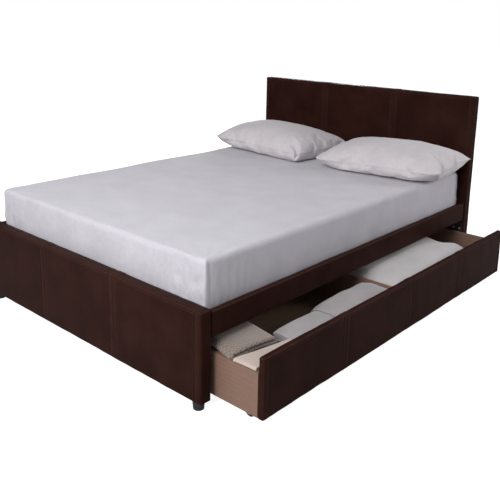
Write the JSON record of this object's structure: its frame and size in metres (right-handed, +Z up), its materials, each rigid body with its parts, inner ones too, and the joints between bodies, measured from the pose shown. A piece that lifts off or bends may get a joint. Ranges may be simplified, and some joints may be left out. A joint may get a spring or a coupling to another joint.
{
  "type": "platform bed with storage drawers",
  "caption": "Double bed with a padded dark brown leatherette headboard, footboard and rails, dressed mattress and pillows, and a long drawer on castors under each side.",
  "frame": {"origin": "on the floor at the middle of the bed frame, under the centre leg", "axes": "+Y points to the headboard, +X is the bed's right side, where the drawer stands open, +Z is up"},
  "size_m": [1.677, 2.05, 0.943],
  "materials": {
    "leatherette": "dark brown bonded leather, fine pebble grain, semi-gloss",
    "lining_cloth": "black non-woven lining cloth",
    "chipboard": "raw chipboard",
    "pine": "planed pine, unvarnished",
    "drawer_wood": "pale wood foil with a fine grain, satin",
    "drawer_panel": "thin plywood, satin",
    "black_steel": "black powder coat",
    "zinc_steel": "bright zinc plate",
    "black_plastic": "black moulded plastic, fine texture",
    "wheel_plastic": "black moulded nylon",
    "white_sheet": "white cotton fitted sheet over a sprung mattress",
    "pillow_cotton": "white cotton pillowcase",
    "grey_blanket": "grey waffle-weave blanket",
    "cream_linen": "cream cotton bed linen",
    "white_linen": "white cotton duvet"
  },
  "bodies": {
    "bed_frame": {"headboard_core": "chipboard", "headboard_cover": "leatherette", "headboard_back_cloth": "lining_cloth", "footboard_core": "chipboard", "footboard_cover": "leatherette", "side_rail_right_core": "chipboard", "side_rail_right_cover": "leatherette", "side_rail_left_core": "chipboard", "side_rail_left_cover": "leatherette", "slat_ledges": "pine", "centre_rail": "pine", "centre_legs": "pine", "leg_glides": "black_plastic", "corner_feet": "black_plastic", "corner_brackets": "black_steel", "centre_rail_hangers": "black_steel", "frame_bolts": "zinc_steel", "slat_screws": "zinc_steel", "mattress": "white_sheet", "pillow_left": "pillow_cotton", "pillow_right": "pillow_cotton", "slat_01": "pine", "slat_02": "pine", "slat_03": "pine", "slat_04": "pine", "slat_05": "pine", "slat_06": "pine", "slat_07": "pine", "slat_08": "pine", "slat_09": "pine", "slat_10": "pine", "slat_11": "pine", "slat_12": "pine"},
    "drawer_right": {"drawer_right_front_core": "chipboard", "drawer_right_front_cover": "leatherette", "drawer_right_side_foot": "drawer_wood", "drawer_right_side_head": "drawer_wood", "drawer_right_back": "drawer_wood", "drawer_right_divider": "drawer_wood", "drawer_right_bottom": "drawer_panel", "drawer_right_castor_forks": "zinc_steel", "drawer_right_castor_axles": "zinc_steel", "drawer_right_castor_screws": "zinc_steel", "stored_blanket": "grey_blanket", "stored_sheets": "cream_linen", "stored_duvet": "white_linen"},
    "right_wheels_front": {"drawer_right_wheels_front": "wheel_plastic"},
    "right_wheels_back": {"drawer_right_wheels_back": "wheel_plastic"},
    "drawer_left": {"drawer_left_front_core": "chipboard", "drawer_left_front_cover": "leatherette", "drawer_left_side_foot": "drawer_wood", "drawer_left_side_head": "drawer_wood", "drawer_left_back": "drawer_wood", "drawer_left_divider": "drawer_wood", "drawer_left_bottom": "drawer_panel", "drawer_left_castor_forks": "zinc_steel", "drawer_left_castor_axles": "zinc_steel", "drawer_left_castor_screws": "zinc_steel"},
    "left_wheels_front": {"drawer_left_wheels_front": "wheel_plastic"},
    "left_wheels_back": {"drawer_left_wheels_back": "wheel_plastic"}
  },
  "joints": [
    {"name": "drawer_right_slide", "type": "slide", "parent": "bed_frame", "child": "drawer_right", "axis": [1, 0, 0], "range_m": [-0.224, 0.326]},
    {"name": "drawer_left_slide", "type": "slide", "parent": "bed_frame", "child": "drawer_left", "axis": [-1, 0, 0], "range_m": [0, 0.55]},
    {"name": "right_wheels_front_roll", "type": "hinge", "parent": "drawer_right", "child": "right_wheels_front", "pos_m": [0.852, 0, 0.022], "axis": [0, 1, 0], "continuous": true},
    {"name": "left_wheels_front_roll", "type": "hinge", "parent": "drawer_left", "child": "left_wheels_front", "pos_m": [-0.628, 0, 0.022], "axis": [0, -1, 0], "continuous": true},
    {"name": "right_wheels_back_roll", "type": "hinge", "parent": "drawer_right", "child": "right_wheels_back", "pos_m": [0.389, 0, 0.022], "axis": [0, 1, 0], "continuous": true},
    {"name": "left_wheels_back_roll", "type": "hinge", "parent": "drawer_left", "child": "left_wheels_back", "pos_m": [-0.165, 0, 0.022], "axis": [0, -1, 0], "continuous": true}
  ],
  "couplings": [
    {"joint": "right_wheels_front_roll", "follows": "drawer_right_slide", "rad_per_m": 45.455},
    {"joint": "right_wheels_back_roll", "follows": "drawer_right_slide", "rad_per_m": 45.455},
    {"joint": "left_wheels_front_roll", "follows": "drawer_left_slide", "rad_per_m": 45.455},
    {"joint": "left_wheels_back_roll", "follows": "drawer_left_slide", "rad_per_m": 45.455}
  ]
}
